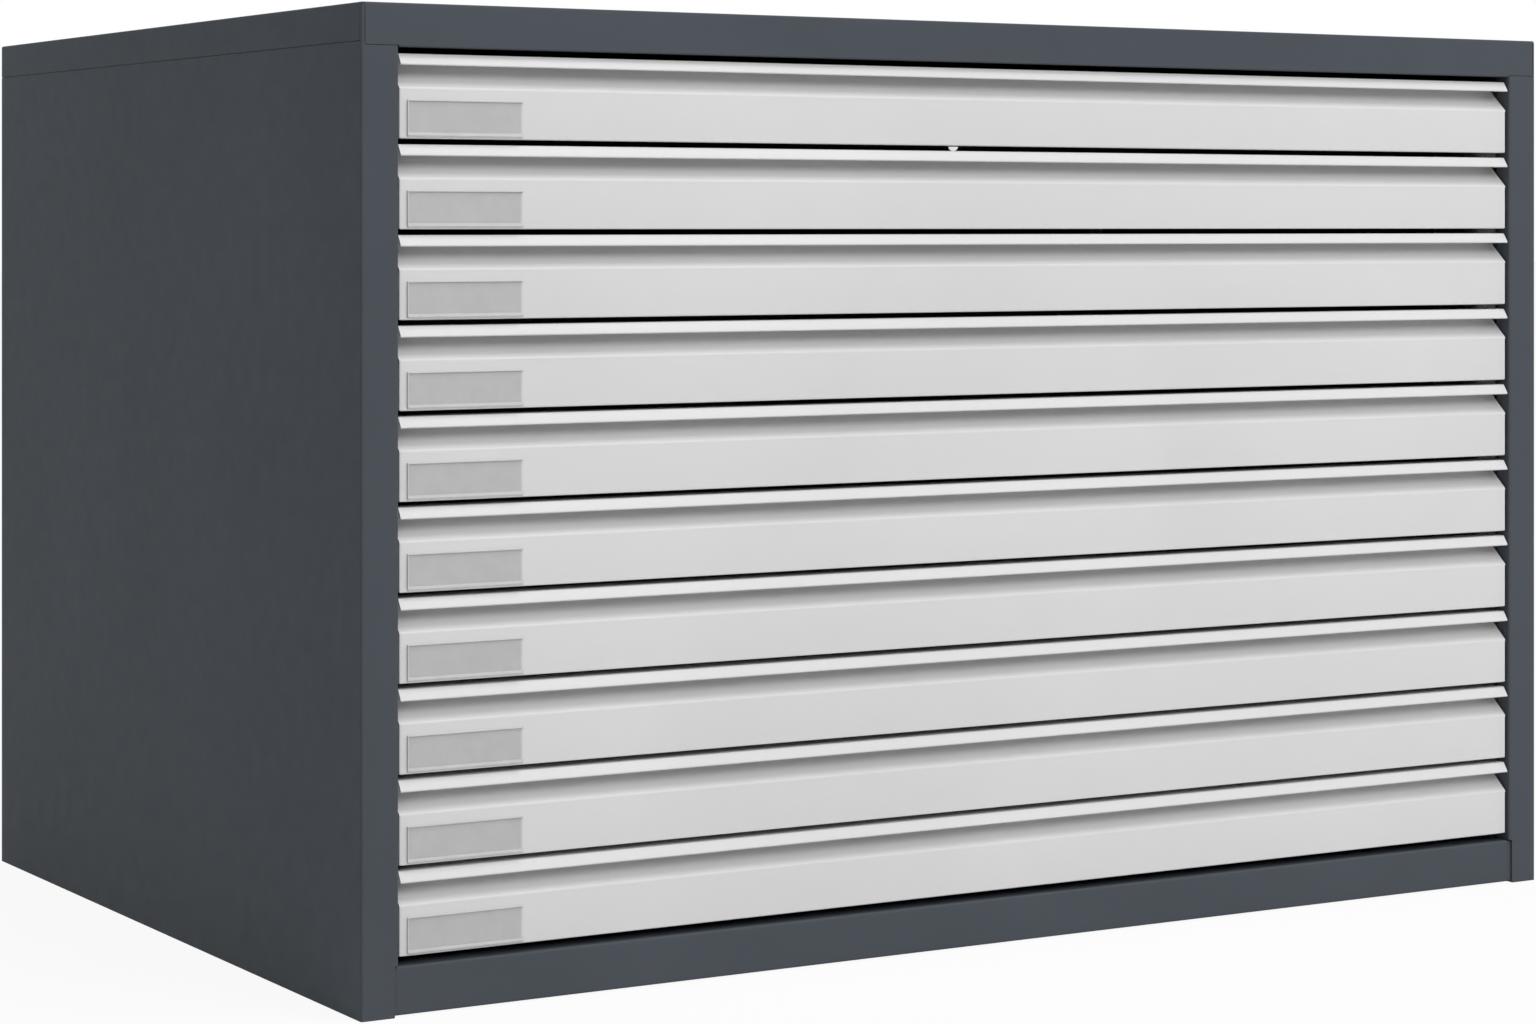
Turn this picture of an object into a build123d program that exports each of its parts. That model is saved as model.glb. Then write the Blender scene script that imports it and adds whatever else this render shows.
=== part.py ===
from build123d import *
import math
import os

# A steel cabinet of shallow drawers for large flat sheets. Its carcass is folded from
# sheet steel: two sides, a cover that drops over them, a back, a bottom and a rail under
# the drawers. Each drawer is a folded tray with a folded grip front, and runs on a pair
# of three-part ball slides that hang on four uprights. The origin is on the floor under
# the middle of the cabinet, with the drawers opening towards -Y.

# Outside of the carcass, and the drawers in it.
cabinet_width = 1100.0
cabinet_depth = 765.0
drawer_count = 10

# How far a cutting shape reaches past what it cuts.
cut_margin = 5.0

# Sheet thicknesses, and the radius inside a fold.
carcass_gauge = 1.0
drawer_gauge = 0.8
upright_gauge = 1.5
slide_gauge = 1.2
fold_radius = 0.8

# Carcass: the front stiles are folded from the sides.
stile_width = 29.0
stile_return = 16.0
rear_flange = 25.0
base_flange = 25.0
tongue_overlap = 10.0
seam_gap = 0.4

# Cover: its skirts stop at a seam on the stiles and on the sides.
cover_front_skirt = 30.0
cover_side_skirt = 27.4
cover_front_drop = 1.2
cover_front_return = 14.0
cover_edge_radius = 1.5
cover_lower_radius = 0.9
corner_ear = 2.6
corner_ear_radius = 1.5

# Rail under the drawers.
rail_height = 35.0
rail_setback = 1.9
rail_flange = 22.0
rail_notch = 3.0

# Bottom panel.
bottom_upstand = 18.0

# Drawer front, from its lower edge up: flat face, sloping throat, leaning lip.
flat_height = 36.0
throat_height = 16.5
lip_height = 8.0
lip_setback = 4.9
lip_reach = 5.3
lip_hem = 4.5
slope_angle = 42.0
slope_fold_radius = 1.6
front_setback = 3.0
front_bottom_return = 10.0
front_end_return = 12.0
side_gap = 1.8
drawer_gap = 4.1
gap_under_drawers = 6.4
gap_over_drawers = 4.5

# Drawer tray.
tray_depth = 700.0
tray_wall = 50.0
tray_rim = 6.0
tray_hood = 60.0
tray_hood_drop = 8.0
tray_front_wall = 32.0
tray_floor_lap = 20.0
fit_gap = 0.3

# Slides: a fixed channel, a middle channel and a channel on the drawer.
slide_length = 700.0
slide_travel = 640.0
slide_height = 45.0
slide_thickness = 12.7
slide_recess = 1.5
slide_front_gap = 2.5
slide_level = 24.5
fixed_flange = 9.6
ball_gap = 3.4
race_seat = 1.8
middle_offset = 2.0
middle_flange = 7.6
inner_flange = 7.2
ball_cage_width = 3.8
ball_cage_margin = 20.0

# Uprights that carry the slides.
upright_width = 40.0
upright_foot = 12.0
upright_from_slide_end = 60.0

# Label holder on each drawer front, open at its right-hand end, with its card.
label_width = 92.0
label_height = 26.4
label_depth = 1.8
label_back = 0.4
label_slot = 0.5
label_top_lip = 0.8
label_bottom_lip = 3.2
label_left_lip = 0.6
label_lip_grip = 0.5
label_bevel = 1.1
label_corner_radius = 1.2
label_from_front_edge = 6.0
label_from_bottom = 1.2
card_thickness = 0.3
card_from_open_end = 1.6

# Nylon stop button under the top drawer.
button_diameter = 7.6
button_height = 3.3
button_from_front = 74.0

# Places that follow from the sizes above.
half_width = cabinet_width / 2
front_y = -cabinet_depth / 2
back_y = cabinet_depth / 2
rail_bottom = carcass_gauge
rail_top = rail_bottom + rail_height
front_height = flat_height + throat_height + lip_height
drawer_pitch = front_height + drawer_gap
drawers_height = drawer_count * front_height + (drawer_count - 1) * drawer_gap
opening_top = rail_top + gap_under_drawers + drawers_height + gap_over_drawers
cabinet_height = opening_top + cover_front_drop + cover_front_skirt
stile_top = cabinet_height - cover_front_skirt - seam_gap
side_top = cabinet_height - cover_side_skirt - seam_gap
cover_underside = cabinet_height - carcass_gauge
opening_half = half_width - stile_width
front_half = opening_half - side_gap
slide_x = opening_half + slide_recess
tray_half = slide_x - slide_thickness
slide_front = front_y + stile_return + slide_front_gap
slide_back = slide_front + slide_length
face_y = front_y + front_setback
tray_front = face_y + drawer_gauge
tray_back = tray_front + tray_depth
back_panel_y = back_y - 2 * carcass_gauge
tray_top = drawer_gauge + tray_wall


def heading(start, end):
    """Direction of a straight run, in radians."""
    return math.atan2(end[1] - start[1], end[0] - start[0])


def fold_turns(line):
    """How far the line turns at each of its folds, positive to the left."""
    turns = []
    for before, fold, after in zip(line, line[1:], line[2:]):
        turn = heading(fold, after) - heading(before, fold)
        turns.append(math.remainder(turn, 2 * math.pi))
    return turns


def shifted(line, distance):
    """The line moved to its left by a distance, with its corners kept sharp."""
    turns = [0.0] + fold_turns(line) + [0.0]
    starts = [heading(line[0], line[1])]
    starts += [heading(start, end) for start, end in zip(line, line[1:])]
    moved = []
    for point, turn, start in zip(line, turns, starts):
        angle = start + turn / 2
        reach = distance / math.cos(turn / 2)
        moved.append((point[0] - reach * math.sin(angle), point[1] + reach * math.cos(angle)))
    return moved


def rounded(line, radii):
    """The line's edges, with each fold rounded to its radius, or sharp where that is 0."""
    edges = []
    here = line[0]
    folds = zip(line[1:-1], fold_turns(line), line, line[2:], radii)
    for fold, turn, before, after, radius in folds:
        if radius == 0:
            edges.append(Line(here, fold).edge())
            here = fold
            continue
        back = heading(fold, before)
        on = heading(fold, after)
        trim = radius * math.tan(abs(turn) / 2)
        start = (fold[0] + trim * math.cos(back), fold[1] + trim * math.sin(back))
        end = (fold[0] + trim * math.cos(on), fold[1] + trim * math.sin(on))
        inward = back + math.remainder(on - back, 2 * math.pi) / 2
        depth = radius / math.cos(turn / 2) - radius
        middle = (fold[0] + depth * math.cos(inward), fold[1] + depth * math.sin(inward))
        edges.append(Line(here, start).edge())
        edges.append(ThreePointArc(start, middle, end).edge())
        here = end
    edges.append(Line(here, line[-1]).edge())
    return edges


def folded_section(line, gauge, inside_radii):
    """Cross-section of a folded sheet whose middle follows the line. Each fold has the
    radius on its inside, and that radius and the sheet on its outside; a fold given as
    None is sharp on both sides."""
    turns = fold_turns(line)
    left = shifted(line, gauge / 2)
    right = shifted(line, -gauge / 2)
    left_radii = []
    right_radii = []
    for turn, radius in zip(turns, inside_radii):
        inner = radius or 0
        outer = 0 if radius is None else radius + gauge
        left_radii.append(inner if turn > 0 else outer)
        right_radii.append(outer if turn > 0 else inner)
    edges = rounded(left, left_radii) + rounded(right, right_radii)
    edges += [Line(left[0], right[0]).edge(), Line(left[-1], right[-1]).edge()]
    return make_face(edges)


def along_x(section, start, end):
    """A section drawn as (y, z), extruded from one x to another."""
    return extrude(Pos(start, 0, 0) * (Plane.YZ * section), amount=end - start, dir=(1, 0, 0))


def along_y(section, start, end):
    """A section drawn as (x, z), extruded from one y to another."""
    return extrude(Pos(0, start, 0) * (Plane.XZ * section), amount=end - start, dir=(0, 1, 0))


def along_z(section, start, end):
    """A section drawn as (x, y), extruded from one z to another."""
    return extrude(Pos(0, 0, start) * section, amount=end - start, dir=(0, 0, 1))


def block(low, high):
    """A box from its lowest corner to its highest one."""
    size = [high[i] - low[i] for i in range(3)]
    middle = [(high[i] + low[i]) / 2 for i in range(3)]
    return Pos(*middle) * Box(*size)


def mirrored(shape):
    """The same piece for the other side of the cabinet."""
    return mirror(shape, about=Plane.YZ)


def drawer_bottom(number):
    """Height of a drawer front's lower edge; drawer 1 is the top one."""
    return rail_top + gap_under_drawers + (drawer_count - number) * drawer_pitch


def make_side_panel():
    """Left side: stile with its return, web, rear flange, base flange and the tongues
    that the cover drops over. A narrow ear keeps the front corner closed up to the top."""
    middle_x = -half_width + carcass_gauge / 2
    stile_x = -opening_half - carcass_gauge / 2
    front = front_y + carcass_gauge / 2
    rear = back_y - carcass_gauge / 2
    plan = [
        (stile_x, front_y + stile_return),
        (stile_x, front),
        (middle_x, front),
        (middle_x, rear),
        (-half_width + rear_flange, rear),
    ]
    section = folded_section(plan, carcass_gauge, [fold_radius] * 3)
    panel = along_z(section, 0, cover_underside - fit_gap)

    # The stile stops under the cover's front skirt, with a rounded corner at the ear.
    ear_x = -half_width + corner_ear
    over_stile = block(
        (ear_x, front_y - cut_margin, stile_top),
        (-opening_half + cut_margin, front_y + stile_return + cut_margin, cabinet_height),
    )
    corner = over_stile.edges().filter_by(Axis.Y).group_by(Axis.Z)[0].sort_by(Axis.X)[0]
    panel -= fillet(corner, corner_ear_radius)
    panel -= block(
        (-half_width - cut_margin, front_y + corner_ear, side_top),
        (0, back_y + cut_margin, cabinet_height),
    )

    # The rail under the drawers shows in a notch at the stile's foot.
    panel -= block(
        (-opening_half - rail_notch, front_y - cut_margin, -cut_margin),
        (
            -opening_half + cut_margin,
            front_y + stile_return + cut_margin,
            rail_top + seam_gap,
        ),
    )

    # Tongues stepped in behind the cover's skirts, and the flange under the side.
    web_inside = -half_width + carcass_gauge
    panel += block(
        (web_inside, front_y + stile_return, side_top - tongue_overlap),
        (web_inside + carcass_gauge, back_panel_y - fit_gap, cover_underside),
    )
    panel += block(
        (ear_x + seam_gap, front_y + carcass_gauge, stile_top - tongue_overlap),
        (-opening_half - carcass_gauge, front_y + 2 * carcass_gauge, cover_underside),
    )
    panel += block(
        (web_inside, front_y + carcass_gauge, 0),
        (-half_width + base_flange, back_panel_y, carcass_gauge),
    )
    return panel


def make_cover():
    """Top cover: one sheet with a skirt on each side, folded back under the front."""
    skirt = cover_front_skirt + cover_front_drop
    lid = Pos(0, 0, cabinet_height - skirt / 2) * Box(cabinet_width, cabinet_depth, skirt)
    lid = fillet(lid.edges().filter_by(Axis.Z), fold_radius + carcass_gauge)
    lid = fillet(lid.faces().sort_by(Axis.Z)[-1].edges(), cover_edge_radius)
    inside = Box(cabinet_width - 2 * carcass_gauge, cabinet_depth - 2 * carcass_gauge, skirt)
    inside = fillet(inside.edges().filter_by(Axis.Z), fold_radius)
    cover = lid - Pos(0, 0, cover_underside - skirt / 2) * inside

    # The side and rear skirts are shorter than the front one, and the front one is
    # shorter over the stiles.
    bottom = cabinet_height - skirt - cut_margin
    cover -= block(
        (-half_width - cut_margin, front_y + corner_ear, bottom),
        (half_width + cut_margin, back_y + cut_margin, cabinet_height - cover_side_skirt),
    )
    for side in (-1, 1):
        stile_inner = side * (opening_half - seam_gap)
        outer = side * (half_width + cut_margin)
        cover -= block(
            (min(stile_inner, outer), front_y - cut_margin, bottom),
            (max(stile_inner, outer), front_y + corner_ear, cabinet_height - cover_front_skirt),
        )
        ear_inner = side * (half_width - corner_ear - seam_gap)
        cover -= block(
            (min(ear_inner, outer), front_y - cut_margin, bottom),
            (max(ear_inner, outer), front_y + corner_ear + seam_gap, cover_underside),
        )
    cover += block(
        (-opening_half + seam_gap, front_y + carcass_gauge / 2, opening_top),
        (opening_half - seam_gap, front_y + cover_front_return, opening_top + carcass_gauge),
    )
    edge = cover.edges().filter_by(Axis.X).group_by(Axis.Z)[0].sort_by(Axis.Y)[0]
    return fillet(edge, cover_lower_radius)


def make_bottom_rail():
    """Channel under the drawers, from one side's web to the other's."""
    face = front_y + rail_setback + carcass_gauge / 2
    flange = front_y + rail_setback + rail_flange
    section = [
        (flange, rail_top - carcass_gauge / 2),
        (face, rail_top - carcass_gauge / 2),
        (face, rail_bottom + carcass_gauge / 2),
        (flange, rail_bottom + carcass_gauge / 2),
    ]
    web_inside = half_width - carcass_gauge
    channel_section = folded_section(section, carcass_gauge, [fold_radius] * 2)
    return along_x(channel_section, -web_inside, web_inside)


def make_bottom_panel():
    """Bottom panel on the sides' base flanges, turned up at its front and back."""
    front = front_y + rail_setback + rail_flange + fit_gap + carcass_gauge / 2
    rear = back_panel_y - carcass_gauge / 2
    level = carcass_gauge + carcass_gauge / 2
    section = [
        (front, carcass_gauge + bottom_upstand),
        (front, level),
        (rear, level),
        (rear, carcass_gauge + bottom_upstand),
    ]
    reach = half_width - carcass_gauge - fit_gap
    return along_x(folded_section(section, carcass_gauge, [0, 0]), -reach, reach)


def make_back_panel():
    """Flat back, inside the sides' rear flanges and the cover's rear skirt."""
    reach = half_width - carcass_gauge - fold_radius - fit_gap
    return block(
        (-reach, back_panel_y, carcass_gauge),
        (reach, back_panel_y + carcass_gauge, cover_underside - fit_gap),
    )


def make_upright(middle_y):
    """Hat-section post on the left side's web, with its crown at the slides."""
    wall = -half_width + carcass_gauge + upright_gauge / 2
    crown = -slide_x - upright_gauge / 2
    half = upright_width / 2 - upright_gauge / 2
    plan = [
        (wall, middle_y - half - upright_foot),
        (wall, middle_y - half),
        (crown, middle_y - half),
        (crown, middle_y + half),
        (wall, middle_y + half),
        (wall, middle_y + half + upright_foot),
    ]
    post_bottom = 2 * carcass_gauge
    post_top = side_top - tongue_overlap - fit_gap
    return along_z(folded_section(plan, upright_gauge, [None] * 4), post_bottom, post_top)


def channel(web, flange, height):
    """Section of a slide channel on the left, from how far its web and flange ends lie
    from the slide's fixed face. Its two corners are flattened, as races for the balls."""
    step = math.copysign(slide_gauge / 2, flange - web)
    seat = math.copysign(race_seat, flange - web)
    web_x = -slide_x + web + step
    flange_x = -slide_x + flange
    level = height / 2 - slide_gauge / 2
    upper = [(flange_x, level), (web_x + seat, level), (web_x, level - race_seat)]
    lower = [(x, -z) for x, z in reversed(upper)]
    return folded_section(upper + lower, slide_gauge, [None] * 4)


def cage_bars(offset, height, start, end):
    """Upper and lower ball cage of one raceway, in the gap just outside a height."""
    bars = []
    for side in (-1, 1):
        near = side * (height / 2 + fit_gap)
        far = side * (height / 2 + ball_gap - fit_gap)
        bars.append(
            block(
                (-slide_x + offset, start, min(near, far)),
                (-slide_x + offset + ball_cage_width, end, max(near, far)),
            )
        )
    return bars


def both_sides(solids, height):
    """The solids at a height, and their mirror images, as one group."""
    raised = [Pos(0, 0, height) * solid for solid in solids]
    return Compound(raised + [mirrored(solid) for solid in raised])


# Heights of the nested channels, and the raceways between them.
middle_height = slide_height - 2 * slide_gauge - 2 * ball_gap
inner_height = middle_height - 2 * slide_gauge - 2 * ball_gap
middle_web = slide_gauge + middle_offset
cage_length = slide_length - slide_travel / 2 - 2 * ball_cage_margin


def make_fixed_rail():
    """Slide channel that is fixed to the uprights, on the left at height 0."""
    return along_y(channel(0, fixed_flange, slide_height), slide_front, slide_back)


def make_middle_members():
    """Middle slide channel with its four ball cages, on the left at height 0."""
    section = channel(middle_web, middle_web + middle_flange, middle_height)
    member = along_y(section, slide_front, slide_back)
    outer_start = slide_back - ball_cage_margin - cage_length
    outer = cage_bars(
        fixed_flange - ball_cage_width, middle_height, outer_start, outer_start + cage_length
    )
    inner_start = slide_front + ball_cage_margin
    inner = cage_bars(
        slide_thickness - inner_flange + fit_gap,
        inner_height,
        inner_start,
        inner_start + cage_length,
    )
    return [member, *outer, *inner]


def make_drawer_rail():
    """Slide channel that is fixed to the drawer's tray, on the left at height 0."""
    section = channel(slide_thickness, slide_thickness - inner_flange, inner_height)
    return along_y(section, slide_front, slide_back)


# The drawer's grip: where the slope ends under the lip's flange.
flange_level = front_height - drawer_gauge / 2
slope_run = (flange_level - flat_height) / math.tan(math.radians(slope_angle))
lip_top_y = front_y + lip_setback


def make_drawer_front():
    """Grip front with its lower edge at height 0: a bottom return, the flat face, the
    slope, a flange forward over the throat and a leaning, hemmed lip."""
    middle = drawer_gauge / 2
    face = face_y + middle
    lip_top = (lip_top_y + middle, flange_level)
    lean = math.atan2(lip_reach, lip_height)
    drop = lip_height - drawer_gauge - middle
    lip_end = (lip_top[0] - drop * math.tan(lean), flange_level - drop)
    line = [
        (face_y + front_bottom_return, middle),
        (face, middle),
        (face, flat_height),
        (face + slope_run, flange_level),
        lip_top,
        lip_end,
    ]
    inside_radii = [0, slope_fold_radius, None, 0]
    section = folded_section(line, drawer_gauge, inside_radii)
    front = along_x(section, -front_half, front_half)

    # The lip's edge is hemmed: the sheet is folded flat behind it.
    hem_middle = (
        lip_end[0] + middle * math.cos(lean),
        lip_end[1] - middle * math.sin(lean),
    )
    hem_top = (
        hem_middle[0] + lip_hem * math.sin(lean),
        hem_middle[1] + lip_hem * math.cos(lean),
    )
    hem_line = Line(hem_middle, hem_top)
    hem = trace(hem_line, 2 * drawer_gauge)
    hem += Pos(*hem_middle) * Circle(drawer_gauge)
    front += along_x(hem, -front_half, front_half)

    # Returns at the two ends of the flat face.
    for side in (-1, 1):
        outer = side * front_half
        inner = side * (front_half - drawer_gauge)
        front += block(
            (min(outer, inner), face_y + middle, middle),
            (max(outer, inner), face_y + front_end_return, flat_height - middle),
        )
    return front


def make_tray():
    """Open tray with its floor on the front's bottom return: rimmed side walls, a back
    with a hood forward over the sheets, and a low front wall behind the face."""
    middle = drawer_gauge / 2
    wall = tray_half - middle
    floor = drawer_gauge + middle
    rim = tray_top - middle
    across = [
        (-wall + tray_rim, rim),
        (-wall, rim),
        (-wall, floor),
        (wall, floor),
        (wall, rim),
        (wall - tray_rim, rim),
    ]
    section = folded_section(across, drawer_gauge, [None, 0, 0, None])
    tray = along_y(section, tray_front, tray_back)

    back = tray_back - middle
    hood = [
        (back - tray_floor_lap, floor),
        (back, floor),
        (back, rim),
        (back - tray_hood, rim),
        (back - tray_hood, rim - tray_hood_drop),
    ]
    tray += along_x(folded_section(hood, drawer_gauge, [None] * 3), -wall, wall)

    front = tray_front + middle
    wall_top = drawer_gauge + tray_front_wall - middle
    low_front = [
        (front + tray_floor_lap, floor),
        (front, floor),
        (front, wall_top),
        (front + tray_rim, wall_top),
    ]
    tray += along_x(folded_section(low_front, drawer_gauge, [None] * 2), -wall, wall)

    # The side walls are cut back along the slope of the grip.
    slope = math.radians(slope_angle)
    clear = (middle + fit_gap) / math.sin(slope)
    foot_y = face_y + middle + clear - cut_margin / math.tan(slope)
    foot_z = flat_height - cut_margin
    cut = Polygon(
        (foot_y, foot_z),
        (foot_y + tray_wall / math.tan(slope), foot_z + tray_wall),
        (foot_y, foot_z + tray_wall),
        align=None,
    )
    tray -= along_x(cut, -half_width, half_width)
    return tray


def make_label_holder():
    """Label holder on a drawer front with its lower edge at height 0, and its card."""
    left = -front_half + label_from_front_edge
    right = left + label_width
    bottom = label_from_bottom
    top = bottom + label_height
    outer_y = face_y - label_depth
    holder = block((left, outer_y, bottom), (right, face_y, top))
    corner = holder.edges().filter_by(Axis.Y).group_by(Axis.X)[0].sort_by(Axis.Z)[0]
    holder = fillet(corner, label_corner_radius)
    bevel = Polygon(
        (outer_y, bottom),
        (outer_y + label_bevel, bottom),
        (outer_y, bottom + label_bevel),
        align=None,
    )
    holder -= along_x(bevel, left - cut_margin, right + cut_margin)

    slot_y = face_y - label_back
    window_low = bottom + label_bottom_lip
    window_high = top - label_top_lip
    holder -= block(
        (left + label_left_lip, outer_y - cut_margin, window_low),
        (right + cut_margin, slot_y, window_high),
    )
    slot_low = window_low - label_lip_grip
    slot_high = window_high + label_lip_grip
    holder -= block(
        (left + label_left_lip, slot_y - label_slot, slot_low),
        (right + cut_margin, slot_y, slot_high),
    )
    play = (label_slot - card_thickness) / 2
    card = block(
        (left + label_left_lip + play, slot_y - play - card_thickness, slot_low + play),
        (right - card_from_open_end, slot_y - play, slot_high - play),
    )
    return [holder, card]


def make_stop_button():
    """Nylon half-round under the floor of the top drawer, at its middle."""
    rim = button_diameter / 2
    ball = (rim**2 + button_height**2) / (2 * button_height)
    dome = Pos(0, 0, ball) * Sphere(ball)
    dome -= block((-ball, -ball, button_height), (ball, ball, 2 * ball + cut_margin))
    low = drawer_bottom(1) + drawer_gauge - button_height
    return Pos(0, front_y + button_from_front, low) * dome


parts = {}
parts["side_panel_left"] = make_side_panel()
parts["side_panel_right"] = mirrored(parts["side_panel_left"])
parts["top_cover"] = make_cover()
parts["back_panel"] = make_back_panel()
parts["bottom_panel"] = make_bottom_panel()
parts["bottom_rail"] = make_bottom_rail()

front_post = make_upright(slide_front + upright_from_slide_end)
rear_post = make_upright(slide_back - upright_from_slide_end)
parts["slide_uprights"] = both_sides([front_post, rear_post], 0)

slide_heights = [drawer_bottom(number + 1) + slide_level for number in range(drawer_count)]
left_rails = Compound([Pos(0, 0, height) * make_fixed_rail() for height in slide_heights])
parts["fixed_rails_left"] = left_rails
parts["fixed_rails_right"] = mirrored(left_rails)
parts["stop_button"] = make_stop_button()

for number, height in enumerate(slide_heights, start=1):
    name = f"drawer_{number:02d}"
    bottom = drawer_bottom(number)
    parts[f"{name}_front"] = Pos(0, 0, bottom) * make_drawer_front()
    parts[f"{name}_tray"] = Pos(0, 0, bottom) * make_tray()
    parts[f"{name}_label_holder"] = Pos(0, 0, bottom) * Compound(make_label_holder())
    parts[f"{name}_slide_inner"] = both_sides([make_drawer_rail()], height)
    parts[f"{name}_slide_middle"] = both_sides(make_middle_members(), height)

os.makedirs("parts", exist_ok=True)
for name, shape in parts.items():
    shape.label = name
    export_step(shape, f"parts/{name}.step")
    print(name, round(shape.volume))
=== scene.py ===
import math

import bmesh
import bpy
from mathutils import Matrix, Vector


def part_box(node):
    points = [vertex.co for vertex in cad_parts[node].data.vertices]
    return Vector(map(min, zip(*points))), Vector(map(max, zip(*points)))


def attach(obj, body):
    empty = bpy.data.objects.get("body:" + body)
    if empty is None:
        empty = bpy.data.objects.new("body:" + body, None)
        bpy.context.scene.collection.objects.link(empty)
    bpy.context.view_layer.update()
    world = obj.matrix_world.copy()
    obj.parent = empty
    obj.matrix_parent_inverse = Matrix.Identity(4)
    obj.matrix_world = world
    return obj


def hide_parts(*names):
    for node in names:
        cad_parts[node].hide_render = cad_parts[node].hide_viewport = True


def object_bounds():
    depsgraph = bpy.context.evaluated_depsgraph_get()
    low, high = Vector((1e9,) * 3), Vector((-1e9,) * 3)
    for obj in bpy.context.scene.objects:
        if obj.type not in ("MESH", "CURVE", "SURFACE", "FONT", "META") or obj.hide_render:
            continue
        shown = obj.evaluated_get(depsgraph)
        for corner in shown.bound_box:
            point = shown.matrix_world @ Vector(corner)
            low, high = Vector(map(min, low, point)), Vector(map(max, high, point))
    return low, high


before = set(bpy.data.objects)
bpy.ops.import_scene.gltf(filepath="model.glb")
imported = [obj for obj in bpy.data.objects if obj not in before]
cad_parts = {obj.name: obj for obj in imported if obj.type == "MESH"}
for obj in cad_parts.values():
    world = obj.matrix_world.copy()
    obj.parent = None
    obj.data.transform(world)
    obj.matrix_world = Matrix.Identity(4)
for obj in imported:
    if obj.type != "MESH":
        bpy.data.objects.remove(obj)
cad_low, cad_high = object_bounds()

# Side panels. Each is one sheet of 1 mm steel, folded round the front into a stile and round
# the back into a flange. They are powder coated in a fine-textured anthracite.


def new_finish(name, inputs):
    """An empty shader group that puts out a finish's colour, roughness and height, and its
    input and output nodes."""
    group = bpy.data.node_groups.new(name, "ShaderNodeTree")
    for label, kind, value in inputs:
        socket = group.interface.new_socket(label, in_out="INPUT", socket_type=kind)
        socket.default_value = value
    group.interface.new_socket("Colour", in_out="OUTPUT", socket_type="NodeSocketColor")
    for label in ("Roughness", "Height"):
        group.interface.new_socket(label, in_out="OUTPUT", socket_type="NodeSocketFloat")
    return group, group.nodes.new("NodeGroupInput"), group.nodes.new("NodeGroupOutput")


def own_coordinates(group):
    """The coordinates of the piece that a finish lies on."""
    return group.nodes.new("ShaderNodeTexCoord").outputs["Object"]


def noise_of(group, coordinates, scale, detail=2.0, distortion=0.0):
    """A noise texture on the piece's own coordinates; its scale may be a socket."""
    noise = group.nodes.new("ShaderNodeTexNoise")
    noise.inputs["Detail"].default_value = detail
    noise.inputs["Distortion"].default_value = distortion
    group.links.new(coordinates, noise.inputs["Vector"])
    if isinstance(scale, bpy.types.NodeSocket):
        group.links.new(scale, noise.inputs["Scale"])
    else:
        noise.inputs["Scale"].default_value = scale
    return noise.outputs["Fac"]


noise_low = 0.3
noise_high = 0.7


def spread(group, value, low=0.0, high=1.0):
    """Maps the middle of a noise, where most of it lies, to a range of its own."""
    ramp = group.nodes.new("ShaderNodeMapRange")
    ramp.inputs["From Min"].default_value = noise_low
    ramp.inputs["From Max"].default_value = noise_high
    group.links.new(value, ramp.inputs["Value"])
    for end, socket in ((low, ramp.inputs["To Min"]), (high, ramp.inputs["To Max"])):
        if isinstance(end, bpy.types.NodeSocket):
            group.links.new(end, socket)
        else:
            socket.default_value = end
    return ramp.outputs["Result"]


def blend_colours(group, share, first, second):
    """A mix of two colours by a share."""
    mix = group.nodes.new("ShaderNodeMix")
    mix.data_type = "RGBA"
    group.links.new(share, mix.inputs["Factor"])
    group.links.new(first, mix.inputs["A"])
    group.links.new(second, mix.inputs["B"])
    return mix.outputs["Result"]


coat_cloud_scale = 4.5
coat_sheen_scale = 60.0
powder_coat, coat_in, coat_out = new_finish(
    "powder_coat",
    [
        ("Thick", "NodeSocketColor", (0.1, 0.1, 0.1, 1)),
        ("Thin", "NodeSocketColor", (0.1, 0.1, 0.1, 1)),
        ("Grain", "NodeSocketFloat", 1500.0),
        ("Gloss", "NodeSocketFloat", 0.4),
        ("Matt", "NodeSocketFloat", 0.5),
    ],
)
coated = own_coordinates(powder_coat)
clouds = noise_of(powder_coat, coated, coat_cloud_scale, detail=3.0, distortion=0.6)
coat_share = spread(powder_coat, clouds)
coat_colour = blend_colours(
    powder_coat, coat_share, coat_in.outputs["Thick"], coat_in.outputs["Thin"]
)
powder_coat.links.new(coat_colour, coat_out.inputs["Colour"])
sheen = noise_of(powder_coat, coated, coat_sheen_scale, detail=4.0)
coat_sheen = spread(powder_coat, sheen, coat_in.outputs["Gloss"], coat_in.outputs["Matt"])
powder_coat.links.new(coat_sheen, coat_out.inputs["Roughness"])
grain = noise_of(powder_coat, coated, coat_in.outputs["Grain"], detail=3.0)
powder_coat.links.new(grain, coat_out.inputs["Height"])


edge_samples = 4


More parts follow.
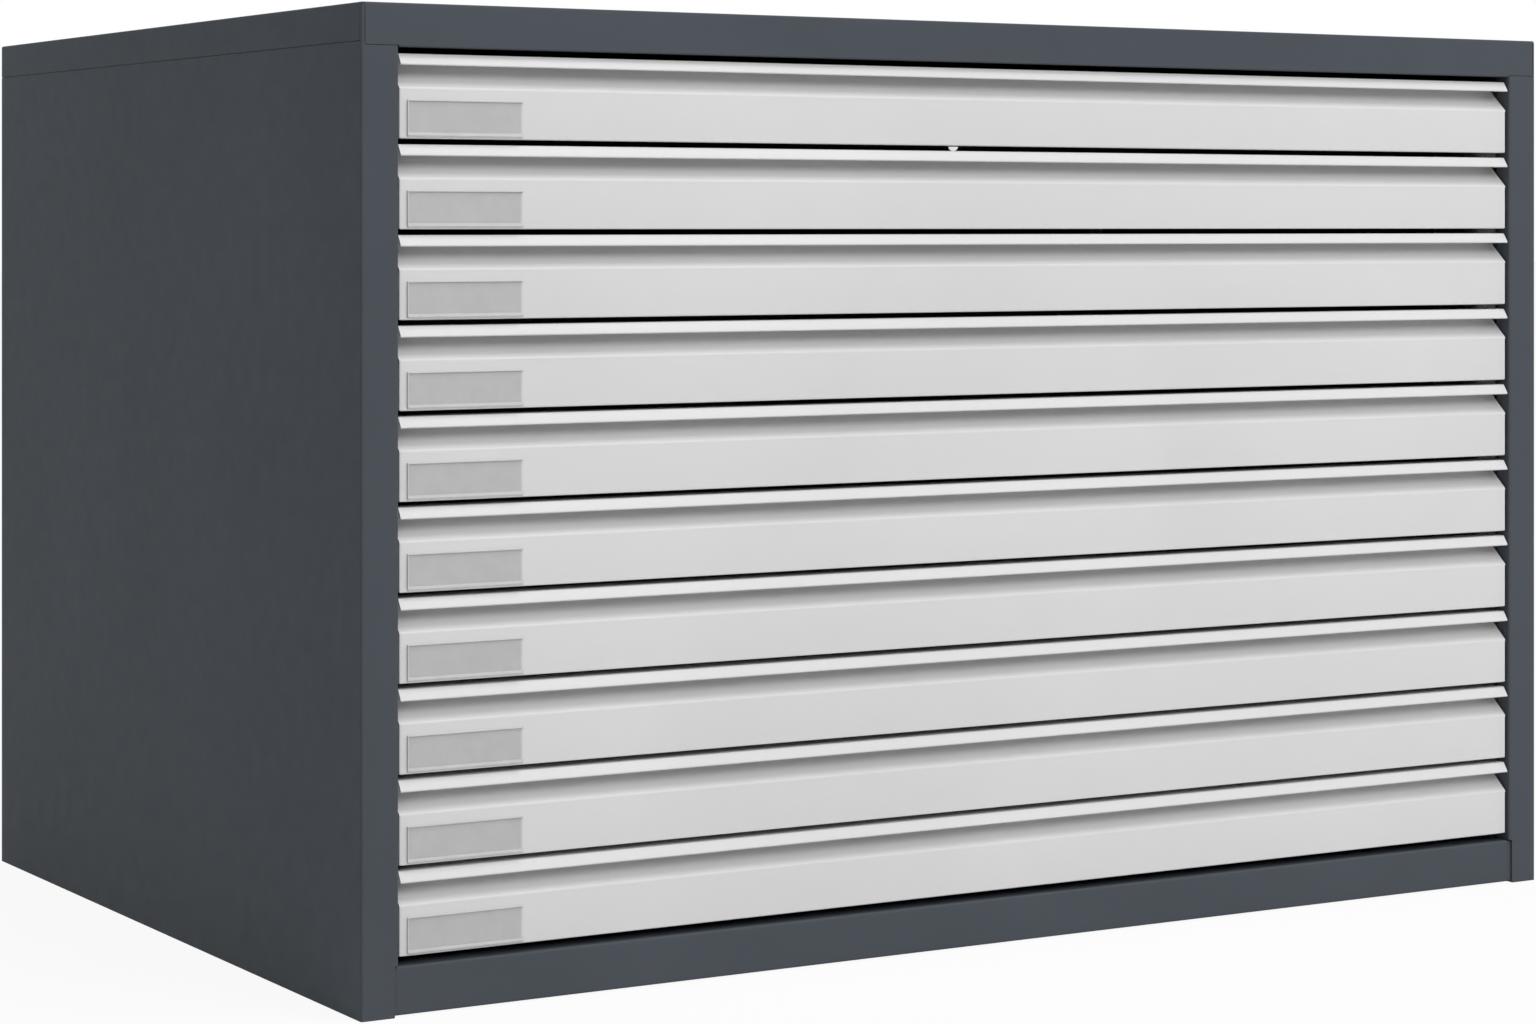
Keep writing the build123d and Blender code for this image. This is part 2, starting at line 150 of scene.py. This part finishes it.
def finished(name, group, values, bump, edge, metallic=0.0, gloss_level=0.5):
    """A material whose colour, roughness and height come from a finish group. Its edges are
    eased by the bevel of that width, as paint or rolling leaves them."""
    material = bpy.data.materials.new(name)
    material.use_nodes = True
    tree = material.node_tree
    shader = tree.nodes["Principled BSDF"]
    shader.inputs["Metallic"].default_value = metallic
    shader.inputs["Specular IOR Level"].default_value = gloss_level
    finish = tree.nodes.new("ShaderNodeGroup")
    finish.node_tree = group
    for label, value in values.items():
        finish.inputs[label].default_value = value
    relief = tree.nodes.new("ShaderNodeBump")
    relief.inputs["Distance"].default_value = bump
    eased = tree.nodes.new("ShaderNodeBevel")
    eased.samples = edge_samples
    eased.inputs["Radius"].default_value = edge
    tree.links.new(finish.outputs["Colour"], shader.inputs["Base Color"])
    tree.links.new(finish.outputs["Roughness"], shader.inputs["Roughness"])
    tree.links.new(finish.outputs["Height"], relief.inputs["Height"])
    tree.links.new(eased.outputs["Normal"], relief.inputs["Normal"])
    tree.links.new(relief.outputs["Normal"], shader.inputs["Normal"])
    return material


def paint_node(name, material):
    """Gives a CAD node its finish."""
    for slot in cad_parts[name].material_slots:
        slot.link = "OBJECT"
        slot.material = material


anthracite = finished(
    "anthracite_powder_coat",
    powder_coat,
    {
        "Thick": (0.065, 0.075, 0.088, 1),
        "Thin": (0.073, 0.083, 0.097, 1),
        "Grain": 1400.0,
        "Gloss": 0.60,
        "Matt": 0.68,
    },
    bump=0.00004,
    edge=0.0004,
    gloss_level=0.12,
)
for side in ("left", "right"):
    paint_node(f"side_panel_{side}", anthracite)

# Back and bottom panels, the rail under the drawers and the top cover, of the same coated
# sheet. The cover drops over the sides' tongues, which leaves the fine seams at its skirts.
for name in ("back_panel", "bottom_panel", "bottom_rail", "top_cover"):
    paint_node(name, anthracite)

# Slide uprights. Four hat-section posts of 1.5 mm zinc-plated steel are welded to the sides'
# webs, two on each side, and carry the fixed rails.
streak_scale = (900, 18, 900)
bloom_scale = 55.0
plated, plated_in, plated_out = new_finish(
    "zinc_plate",
    [
        ("Bright", "NodeSocketColor", (0.6, 0.6, 0.6, 1)),
        ("Dull", "NodeSocketColor", (0.4, 0.4, 0.4, 1)),
        ("Gloss", "NodeSocketFloat", 0.25),
        ("Matt", "NodeSocketFloat", 0.4),
    ],
)
strip = own_coordinates(plated)
rolled = plated.nodes.new("ShaderNodeMapping")
rolled.inputs["Scale"].default_value = streak_scale
plated.links.new(strip, rolled.inputs["Vector"])
streaks = noise_of(plated, rolled.outputs["Vector"], 1.0, detail=4.0)
bloom = spread(plated, noise_of(plated, strip, bloom_scale, detail=5.0, distortion=1.2))
plate_colour = blend_colours(plated, bloom, plated_in.outputs["Bright"], plated_in.outputs["Dull"])
plated.links.new(plate_colour, plated_out.inputs["Colour"])
plate_sheen = spread(plated, streaks, plated_in.outputs["Gloss"], plated_in.outputs["Matt"])
plated.links.new(plate_sheen, plated_out.inputs["Roughness"])
plated.links.new(streaks, plated_out.inputs["Height"])

zinc = finished(
    "bright_zinc_plate",
    plated,
    {
        "Bright": (0.66, 0.67, 0.69, 1),
        "Dull": (0.57, 0.58, 0.59, 1),
        "Gloss": 0.24,
        "Matt": 0.42,
    },
    bump=0.00002,
    edge=0.0003,
    metallic=1.0,
)
paint_node("slide_uprights", zinc)

# Fixed rails. Each is a channel rolled from 1.2 mm zinc-plated strip, whose flattened corners
# are the races of the outer balls. A screw near each end holds it to an upright.
slide_gauge = 0.0012
slide_thickness = 0.0127
race_seat = 0.0018
race_radius = 0.0004
fixed_flange = 0.0096
screw_radius = 0.0033
screw_head = 0.0013
screw_from_end = 0.060
screw_profile = [(1, 0), (1, 0.35), (0.86, 0.75), (0.55, 1), (0.34, 1), (0, 0.3)]
screw_facets = 24
sharp_from = math.radians(32)
fold_step = math.radians(12)
fixed_low, fixed_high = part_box("fixed_rails_left")
slide_x = -fixed_low.x
slide_y = (fixed_low.y, fixed_high.y)
drawer_count = 10
inner_boxes = [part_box(f"drawer_{n:02d}_slide_inner") for n in range(1, drawer_count + 1)]
slide_levels = [(low.z + high.z) / 2 for low, high in inner_boxes]
fixed_height = fixed_high.z - slide_levels[0]


def piece_from(mesh_builder, name, material, body):
    """Turns a mesh under construction into a piece with smooth faces and sharp edges."""
    bmesh.ops.recalc_face_normals(mesh_builder, faces=mesh_builder.faces)
    mesh = bpy.data.meshes.new(name)
    mesh_builder.to_mesh(mesh)
    mesh_builder.free()
    mesh.materials.append(material)
    mesh.shade_smooth()
    mesh.set_sharp_from_angle(angle=sharp_from)
    piece = bpy.data.objects.new(name, mesh)
    bpy.context.scene.collection.objects.link(piece)
    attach(piece, body)
    return piece


def turned(builder, profile, sides, place):
    """Adds a turned shape: a profile of (radius, height) round its axis, put in place by a
    matrix. A radius of 0 closes the end to a point."""
    rings = []
    for radius, height in profile:
        if radius == 0:
            rings.append([builder.verts.new(place @ Vector((0, 0, height)))])
            continue
        ring = []
        for i in range(sides):
            angle = math.tau * i / sides
            spot = Vector((radius * math.cos(angle), radius * math.sin(angle), height))
            ring.append(builder.verts.new(place @ spot))
        rings.append(ring)
    for lower, upper in zip(rings, rings[1:]):
        for i in range(sides):
            j = (i + 1) % sides
            corners = [lower[i % len(lower)], lower[j % len(lower)]]
            corners += [upper[j % len(upper)], upper[i % len(upper)]]
            builder.faces.new(list(dict.fromkeys(corners)))


def sheet_side(line, gauge, radii, offset):
    """Points along one side of a folded sheet whose middle follows a line of (u, v), moved to
    its left by an offset. Each fold has an inside radius."""
    points = []
    headings = [
        math.atan2(after[1] - before[1], after[0] - before[0])
        for before, after in zip(line, line[1:])
    ]
    bearings = [headings[0], *headings]
    for i, (point, bearing) in enumerate(zip(line, bearings)):
        if i in (0, len(line) - 1):
            aside = (-math.sin(bearing) * offset, math.cos(bearing) * offset)
            points.append((point[0] + aside[0], point[1] + aside[1]))
            continue
        turn = math.remainder(headings[i] - headings[i - 1], math.tau)
        hand = math.copysign(1, turn)
        middle_radius = radii[i - 1] + gauge / 2
        inward = headings[i - 1] + turn / 2 + hand * math.pi / 2
        reach = middle_radius / math.cos(turn / 2)
        centre = (point[0] + reach * math.cos(inward), point[1] + reach * math.sin(inward))
        radius = middle_radius - hand * offset
        steps = max(2, math.ceil(abs(turn) / fold_step))
        if radius < gauge / 100:
            steps = 0
        first = headings[i - 1] - hand * math.pi / 2
        for step in range(steps + 1):
            angle = first + turn * (step / steps if steps else 0.5)
            points.append(
                (centre[0] + radius * math.cos(angle), centre[1] + radius * math.sin(angle))
            )
    return points


def sheet_outline(line, gauge, radii):
    """The closed cross-section of a folded sheet."""
    left = sheet_side(line, gauge, radii, gauge / 2)
    right = sheet_side(line, gauge, radii, -gauge / 2)
    return left + right[::-1]


def drawn_out(builder, outline, axis, start, end):
    """Adds an outline in the other two axes, drawn out along an axis as a closed solid."""
    rings = []
    for at in (start, end):
        corners = []
        for u, v in outline:
            spot = {"X": (at, u, v), "Y": (u, at, v), "Z": (u, v, at)}[axis]
            corners.append(builder.verts.new(spot))
        rings.append(corners)
    for i in range(len(outline)):
        j = (i + 1) % len(outline)
        builder.faces.new([rings[0][i], rings[0][j], rings[1][j], rings[1][i]])
    builder.faces.new(rings[0])
    builder.faces.new(rings[1][::-1])


def channel_outline(side, web, flange, half_height):
    """Section of a slide's channel on one side of the cabinet. Its web's near face and its
    flanges' ends are given from the slide's fixed face, inward."""
    inward = math.copysign(1, flange - web)
    web_middle = web + inward * slide_gauge / 2
    level = half_height - slide_gauge / 2
    seat = level - race_seat
    upper = [(flange, level), (web_middle + inward * race_seat, level), (web_middle, seat)]
    lower = [(depth, -height) for depth, height in reversed(upper)]
    line = [(side * (slide_x - depth), height) for depth, height in upper + lower]
    return sheet_outline(line, slide_gauge, [race_radius] * 4)


def raised_outline(outline, height):
    return [(u, v + height) for u, v in outline]


def screws(builder, side, face_x, outward, height):
    """Adds the two pan-head screws of one rail, with a driving recess, on a web's face."""
    profile = [(screw_radius * across, screw_head * up) for across, up in screw_profile]
    turn = Matrix.Rotation(side * outward * math.pi / 2, 4, "Y")
    for y in (slide_y[0] + screw_from_end, slide_y[1] - screw_from_end):
        turned(builder, profile, screw_facets, Matrix.Translation((face_x, y, height)) @ turn)


for side, label in ((-1, "left"), (1, "right")):
    rails = bmesh.new()
    fixings = bmesh.new()
    section = channel_outline(side, 0, fixed_flange, fixed_height)
    for height in slide_levels:
        drawn_out(rails, raised_outline(section, height), "Y", *slide_y)
        screws(fixings, side, side * (slide_x - slide_gauge), -1, height)
    rail = piece_from(rails, f"fixed_rails_{label}_rolled", zinc, "carcass")
    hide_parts(f"fixed_rails_{label}")
    piece_from(fixings, f"fixed_rail_screws_{label}", zinc, "carcass")

# Middle members and ball cages. The middle channel runs between two pairs of ball rows; each
# row is held at an even pitch by a thin pressed cage.
ball_gap = 0.0034
ball_radius = 0.0016
ball_pitch = 0.0165
middle_offset = 0.002
middle_flange = 0.0076
inner_flange = 0.0072
cage_width = 0.0038
cage_gauge = 0.0007
cage_end = 0.020
cage_length = 0.340
film_scale = 700.0
film_roughness = (0.08, 0.26)
middle_half = fixed_height - slide_gauge - ball_gap
inner_half = middle_half - slide_gauge - ball_gap
middle_web = slide_gauge + middle_offset
race_x = slide_x - fixed_flange + cage_width / 2
ball_steel = bpy.data.materials.new("polished_ball_steel")
ball_steel.use_nodes = True
polish = ball_steel.node_tree.nodes["Principled BSDF"]
polish.inputs["Base Color"].default_value = (0.72, 0.73, 0.75, 1)
polish.inputs["Metallic"].default_value = 1.0
film = ball_steel.node_tree.nodes.new("ShaderNodeTexNoise")
film.inputs["Scale"].default_value = film_scale
film_range = ball_steel.node_tree.nodes.new("ShaderNodeMapRange")
film_range.inputs["To Min"].default_value = film_roughness[0]
film_range.inputs["To Max"].default_value = film_roughness[1]
ball_steel.node_tree.links.new(film.outputs["Fac"], film_range.inputs["Value"])
ball_steel.node_tree.links.new(film_range.outputs["Result"], polish.inputs["Roughness"])


def ball_row(cages, balls, side, height, start):
    """Adds one row of balls and the cage that holds it."""
    x = side * race_x
    half = cage_width / 2
    low, high = height - cage_gauge / 2, height + cage_gauge / 2
    strip = [(x - half, low), (x + half, low), (x + half, high), (x - half, high)]
    drawn_out(cages, strip, "Y", start, start + cage_length)
    count = int((cage_length - ball_pitch) / ball_pitch) + 1
    first = start + (cage_length - (count - 1) * ball_pitch) / 2
    for i in range(count):
        spot = Matrix.Translation((x, first + i * ball_pitch, height))
        bmesh.ops.create_icosphere(balls, subdivisions=2, radius=ball_radius, matrix=spot)


for number, height in enumerate(slide_levels, start=1):
    body = f"drawer_{number:02d}_middle"
    members, cages, balls = bmesh.new(), bmesh.new(), bmesh.new()
    for side in (-1, 1):
        section = channel_outline(side, middle_web, middle_web + middle_flange, middle_half)
        drawn_out(members, raised_outline(section, height), "Y", *slide_y)
        outer_start = slide_y[1] - cage_end - cage_length
        inner_start = slide_y[0] + cage_end
        for edge in (-1, 1):
            outer_race = height + edge * (middle_half + ball_gap / 2)
            inner_race = height + edge * (inner_half + ball_gap / 2)
            ball_row(cages, balls, side, outer_race, outer_start)
            ball_row(cages, balls, side, inner_race, inner_start)
    member = piece_from(members, f"{body}_channels", zinc, body)
    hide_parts(f"drawer_{number:02d}_slide_middle")
    piece_from(cages, f"{body}_cages", zinc, body)
    piece_from(balls, f"{body}_balls", ball_steel, body)

# Drawer trays, folded from 0.8 mm sheet and coated in a smooth light grey. The hood at the
# back keeps sheets from riding up over the rear wall.
light_grey = finished(
    "light_grey_powder_coat",
    powder_coat,
    {
        "Thick": (0.655, 0.655, 0.655, 1),
        "Thin": (0.685, 0.685, 0.683, 1),
        "Grain": 700.0,
        "Gloss": 0.38,
        "Matt": 0.46,
    },
    bump=0.00003,
    edge=0.0004,
    gloss_level=0.4,
)
for number in range(1, drawer_count + 1):
    paint_node(f"drawer_{number:02d}_tray", light_grey)

# Drawer rails. The innermost channel of each slide is screwed to the tray's side wall, with
# its open side towards the middle member.
for number, height in enumerate(slide_levels, start=1):
    body = f"drawer_{number:02d}"
    rails, fixings = bmesh.new(), bmesh.new()
    for side in (-1, 1):
        web = slide_thickness
        section = channel_outline(side, web, web - inner_flange, inner_half)
        drawn_out(rails, raised_outline(section, height), "Y", *slide_y)
        screws(fixings, side, side * (slide_x - web + slide_gauge), 1, height)
    rail = piece_from(rails, f"{body}_slide_inner_rolled", zinc, body)
    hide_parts(f"{body}_slide_inner")
    piece_from(fixings, f"{body}_slide_screws", zinc, body)

# Drawer fronts. One sheet makes the flat face, the slope behind the throat and the leaning lip,
# whose edge is hemmed; the face is folded back at its two ends.
front_gauge = 0.0008
flat_height = 0.036
lip_height = 0.008
lip_setback = 0.0049
lip_reach = 0.0053
lip_hem = 0.0045
hem_steps = 8
slope_angle = math.radians(42)
slope_fold = 0.0016
tight_fold = 0.0003
front_setback = 0.003
bottom_return = 0.010
end_return = 0.012
front_plane = cad_low.y
face_y = front_plane + front_setback


def lip_outline(line, lean, radii):
    """Section of the front, or of its upper part, with the hem folded behind the lip's end."""
    half = front_gauge / 2
    left = sheet_side(line, front_gauge, radii, half)
    right = sheet_side(line, front_gauge, radii, -half)
    down = (-math.sin(lean), -math.cos(lean))
    behind = (math.cos(lean), -math.sin(lean))
    fold = left[-1]
    hem_top = (fold[0] - down[0] * lip_hem, fold[1] - down[1] * lip_hem)
    hem = [hem_top]
    hem.append((hem_top[0] + behind[0] * front_gauge, hem_top[1] + behind[1] * front_gauge))
    for i in range(hem_steps + 1):
        angle = math.atan2(behind[1], behind[0]) - math.pi * i / hem_steps
        hem.append(
            (fold[0] + front_gauge * math.cos(angle), fold[1] + front_gauge * math.sin(angle))
        )
    return left[:-1] + hem + right[:-1][::-1]


def shape_of(builder, name):
    """A closed shape under construction as an object, for cutting and joining."""
    bmesh.ops.recalc_face_normals(builder, faces=builder.faces)
    mesh = bpy.data.meshes.new(name)
    builder.to_mesh(mesh)
    builder.free()
    shape = bpy.data.objects.new(name, mesh)
    bpy.context.scene.collection.objects.link(shape)
    return shape


def combined(builder, other, operation):
    """Cuts one closed shape out of another, or joins the two, as one clean skin."""
    blank = shape_of(builder, "blank")
    tool = shape_of(other, "tool")
    work = blank.modifiers.new("work", "BOOLEAN")
    work.operation = operation
    work.solver = "EXACT"
    work.object = tool
    result = bmesh.new()
    result.from_object(blank, bpy.context.evaluated_depsgraph_get())
    for shape in (blank, tool):
        mesh = shape.data
        bpy.data.objects.remove(shape)
        bpy.data.meshes.remove(mesh)
    return result


def front_skin(low, high):
    """The whole folded front of one drawer, as one closed skin."""
    middle = front_gauge / 2
    flange = high.z - middle
    run = (flange - low.z - flat_height) / math.tan(slope_angle)
    lean = math.atan2(lip_reach, lip_height)
    lip_top = (front_plane + lip_setback + middle, flange)
    drop = lip_height - front_gauge - middle
    lip_end = (lip_top[0] - drop * math.tan(lean), flange - drop)
    upper = [
        (face_y + middle, low.z + flat_height),
        (face_y + middle + run, flange),
        lip_top,
        lip_end,
    ]
    foot = [(face_y + bottom_return, low.z + middle), (face_y + middle, low.z + middle)]
    inner = high.x - tight_fold - front_gauge
    trim = (slope_fold + middle) * math.tan((math.pi / 2 - slope_angle) / 2)
    shoulder = (face_y + middle, low.z + flat_height - trim)
    radii = [tight_fold, slope_fold, tight_fold, tight_fold]
    skin = bmesh.new()
    drawn_out(skin, lip_outline(foot + upper, lean, radii), "X", -inner, inner)
    for side in (-1, 1):
        end = bmesh.new()
        ends = sorted((side * inner, side * high.x))
        drawn_out(end, lip_outline([shoulder, *upper], lean, radii[1:]), "X", *ends)
        skin = combined(skin, end, "UNION")
        wall = side * (high.x - middle)
        fold = [
            (side * inner, face_y + middle),
            (wall, face_y + middle),
            (wall, face_y + end_return),
        ]
        corner = bmesh.new()
        outline = sheet_outline(fold, front_gauge, [tight_fold])
        drawn_out(corner, outline, "Z", low.z + middle, shoulder[1])
        skin = combined(skin, corner, "UNION")
    return skin


first_low, first_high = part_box("drawer_01_front")
folded = front_skin(first_low, first_high)
for number in range(1, drawer_count + 1):
    node = f"drawer_{number:02d}_front"
    low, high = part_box(node)
    sheet = folded.copy()
    bmesh.ops.translate(sheet, verts=sheet.verts, vec=(0, 0, low.z - first_low.z))
    front = piece_from(sheet, f"{node}_folded", light_grey, f"drawer_{number:02d}")
    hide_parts(node)
folded.free()

# Label holders. Each is a shallow holder of grey painted metal stuck to the drawer's face,
# bevelled along its foot and open at its right end, where a blank card slides in.
holder_back = 0.0004
holder_slot = 0.0005
top_lip = 0.0008
bottom_lip = 0.0032
left_lip = 0.0006
lip_grip = 0.0005
holder_bevel = 0.0011
holder_corner = 0.0012
corner_steps = 8
card_gauge = 0.0003
card_from_end = 0.0016
tint_scale = 90.0
stippled, stippled_in, stippled_out = new_finish(
    "fine_stipple",
    [
        ("Light", "NodeSocketColor", (0.6, 0.6, 0.6, 1)),
        ("Dark", "NodeSocketColor", (0.5, 0.5, 0.5, 1)),
        ("Grain", "NodeSocketFloat", 2500.0),
        ("Gloss", "NodeSocketFloat", 0.3),
        ("Matt", "NodeSocketFloat", 0.4),
    ],
)
face = own_coordinates(stippled)
tint = spread(stippled, noise_of(stippled, face, tint_scale, detail=4.0))
tinted = blend_colours(stippled, tint, stippled_in.outputs["Light"], stippled_in.outputs["Dark"])
stippled.links.new(tinted, stippled_out.inputs["Colour"])
stipple = noise_of(stippled, face, stippled_in.outputs["Grain"], detail=3.0)
stippled.links.new(stipple, stippled_out.inputs["Height"])
gloss = spread(stippled, stipple, stippled_in.outputs["Gloss"], stippled_in.outputs["Matt"])
stippled.links.new(gloss, stippled_out.inputs["Roughness"])

holder_grey = finished(
    "grey_label_holder",
    stippled,
    {"Light": (0.62, 0.62, 0.62, 1), "Dark": (0.58, 0.58, 0.58, 1), "Gloss": 0.3, "Matt": 0.42},
    bump=0.00002,
    edge=0.0003,
)
card_stock = finished(
    "blank_grey_card",
    stippled,
    {
        "Light": (0.50, 0.50, 0.50, 1),
        "Dark": (0.47, 0.47, 0.47, 1),
        "Grain": 4000.0,
        "Gloss": 0.7,
        "Matt": 0.85,
    },
    bump=0.00003,
    edge=0.0001,
    gloss_level=0.25,
)


def bevelled_blank(low, high):
    """The holder before its slot is cut: a rounded lower left corner and a bevelled foot."""
    blank = bmesh.new()
    outline = [(high.x, high.z), (low.x, high.z)]
    for i in range(corner_steps + 1):
        angle = math.pi + math.pi / 2 * i / corner_steps
        x = low.x + holder_corner * (1 + math.cos(angle))
        z = low.z + holder_corner * (1 + math.sin(angle))
        outline.append((x, z))
    outline.append((high.x, low.z))
    raised = [(x, max(z, low.z + holder_bevel)) for x, z in outline]
    rings = []
    for at, points in ((high.y, outline), (low.y + holder_bevel, outline), (low.y, raised)):
        rings.append([blank.verts.new((x, at, z)) for x, z in points])
    for near, far in zip(rings, rings[1:]):
        for i in range(len(outline)):
            j = (i + 1) % len(outline)
            blank.faces.new([near[i], near[j], far[j], far[i]])
    blank.faces.new(rings[0])
    blank.faces.new(rings[2][::-1])
    return blank


low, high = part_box("drawer_01_label_holder")
back_y = high.y - holder_back
slot_y = back_y - holder_slot
proud_y = low.y - holder_bevel
inside_x = low.x + left_lip
window = (low.z + bottom_lip, high.z - top_lip)
slot = (window[0] - lip_grip, window[1] + lip_grip)
channel = [(back_y, slot[0]), (back_y, slot[1]), (slot_y, slot[1]), (slot_y, window[1])]
channel += [(proud_y, window[1]), (proud_y, window[0]), (slot_y, window[0]), (slot_y, slot[0])]
cutter = bmesh.new()
drawn_out(cutter, channel, "X", inside_x, high.x + holder_bevel)
holder = combined(bevelled_blank(low, high), cutter, "DIFFERENCE")
play = (holder_slot - card_gauge) / 2
card_low = (inside_x + play, slot[0] + play)
card_high = (high.x - card_from_end, slot[1] - play)
blank = [card_low, (card_high[0], card_low[1]), card_high, (card_low[0], card_high[1])]
card = bmesh.new()
drawn_out(card, blank, "Y", slot_y + play, slot_y + play + card_gauge)
for number in range(1, drawer_count + 1):
    node = f"drawer_{number:02d}_label_holder"
    body = f"drawer_{number:02d}"
    lift = (0, 0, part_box(node)[0].z - low.z)
    pair = [holder.copy(), card.copy()]
    for shape in pair:
        bmesh.ops.translate(shape, verts=shape.verts, vec=lift)
    made = piece_from(pair[0], f"{node}_bevelled", holder_grey, body)
    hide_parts(node)
    piece_from(pair[1], f"{body}_label_card", card_stock, body)
holder.free()
card.free()

# Stop button under the top drawer, moulded from white nylon and pressed into the tray's floor.
# The button glows a little of its own though it is no lamp: painted light that shows it white in
# the dark gap, where it sits in shade.
painted_button_glow = 0.75
nylon = finished(
    "white_nylon",
    stippled,
    {"Light": (0.90, 0.90, 0.89, 1), "Dark": (0.87, 0.87, 0.85, 1), "Gloss": 0.35, "Matt": 0.45},
    bump=0.00001,
    edge=0.0002,
)
# Painted glow: the nylon's emission makes the button shine white in the shaded gap, though it is
# no lamp.
nylon_shader = nylon.node_tree.nodes["Principled BSDF"]
nylon_shader.inputs["Emission Color"].default_value = (1, 1, 1, 1)
nylon_shader.inputs["Emission Strength"].default_value = painted_button_glow
paint_node("stop_button", nylon)

# Floor and light. A pale floor runs out of view on every side and keeps a soft shadow; large
# soft lamps light the drawers from the front, and the world fills in evenly.


def seen_white(tree, shader_output, share):
    """Mixes plain white into a shader where it is seen directly, mirrored or through glass."""
    path = tree.nodes.new("ShaderNodeLightPath")
    either = tree.nodes.new("ShaderNodeMath")
    either.operation = "MAXIMUM"
    tree.links.new(path.outputs["Is Camera Ray"], either.inputs[0])
    tree.links.new(path.outputs["Is Glossy Ray"], either.inputs[1])
    any_ray = tree.nodes.new("ShaderNodeMath")
    any_ray.operation = "MAXIMUM"
    tree.links.new(either.outputs["Value"], any_ray.inputs[0])
    tree.links.new(path.outputs["Is Transmission Ray"], any_ray.inputs[1])
    amount = tree.nodes.new("ShaderNodeMath")
    amount.operation = "MULTIPLY"
    amount.inputs[1].default_value = share
    tree.links.new(any_ray.outputs["Value"], amount.inputs[0])
    white = tree.nodes.new("ShaderNodeEmission")
    if shader_output.node.bl_idname == "ShaderNodeBackground":
        white = tree.nodes.new("ShaderNodeBackground")
    white.inputs["Color"].default_value = (1, 1, 1, 1)
    mix = tree.nodes.new("ShaderNodeMixShader")
    tree.links.new(amount.outputs["Value"], mix.inputs["Fac"])
    tree.links.new(shader_output, mix.inputs[1])
    tree.links.new(white.outputs[0], mix.inputs[2])
    return mix.outputs["Shader"]


floor_reach = 40.0
floor_white = 0.92
sky_strength = 0.325
floor_corners = [(-1, -1), (1, -1), (1, 1), (-1, 1)]
floor_mesh = bpy.data.meshes.new("floor")
floor_mesh.from_pydata(
    [(x * floor_reach, y * floor_reach, 0) for x, y in floor_corners],
    [],
    [(0, 1, 2, 3)],
)
floor = bpy.data.objects.new("floor", floor_mesh)
bpy.context.scene.collection.objects.link(floor)
pale = bpy.data.materials.new("pale_floor")
pale.use_nodes = True
floor_shader = pale.node_tree.nodes["Principled BSDF"]
floor_shader.inputs["Base Color"].default_value = (0.8, 0.8, 0.8, 1)
floor_shader.inputs["Roughness"].default_value = 0.9
floor_shader.inputs["Specular IOR Level"].default_value = 0.1
shown = seen_white(pale.node_tree, floor_shader.outputs["BSDF"], floor_white)
pale.node_tree.links.new(shown, pale.node_tree.nodes["Material Output"].inputs["Surface"])
floor_mesh.materials.append(pale)

world = bpy.data.worlds.new("studio")
world.use_nodes = True
bpy.context.scene.world = world
sky = world.node_tree.nodes["Background"]
sky.inputs["Color"].default_value = (1, 1, 1, 1)
sky.inputs["Strength"].default_value = sky_strength
sky_shown = seen_white(world.node_tree, sky.outputs["Background"], 1.0)
world.node_tree.links.new(sky_shown, world.node_tree.nodes["World Output"].inputs["Surface"])


def soft_lamp(name, place, target, size, power):
    """A large square area lamp that points at a spot."""
    data = bpy.data.lights.new(name, "AREA")
    data.shape = "SQUARE"
    data.size = size
    data.energy = power
    lamp = bpy.data.objects.new(name, data)
    lamp.location = place
    lamp.rotation_euler = (Vector(target) - Vector(place)).to_track_quat("-Z", "Y").to_euler()
    bpy.context.scene.collection.objects.link(lamp)


soft_lamp("key_lamp", place=(0.8, -7.4, 5.2), target=(0, -0.3, 0.35), size=4.5, power=296.0)
soft_lamp("lip_lamp", place=(1.2, -2.2, 5.4), target=(0, -0.3, 0.4), size=2.4, power=125.0)
soft_lamp("rear_lamp", place=(2.5, 5.5, 3.4), target=(0, 0.3, 0.35), size=3.5, power=110.0)

# Camera. It stands level, a little above the middle of the cabinet and to its left, with the
# picture shifted down, as the upright edges of the cabinet show.
camera_spot = (-1.6251, -2.7487, 0.5624)
camera_heading = -30.769
camera_data = bpy.data.cameras.new("camera")
camera_data.lens = 85.875
camera_data.sensor_width = 36.0
camera_data.shift_y = -0.1870
camera = bpy.data.objects.new("camera", camera_data)
camera.location = camera_spot
camera.rotation_euler = (math.radians(90), 0, math.radians(camera_heading))
bpy.context.scene.collection.objects.link(camera)
bpy.context.scene.camera = camera
bpy.context.scene.view_settings.view_transform = "Standard"
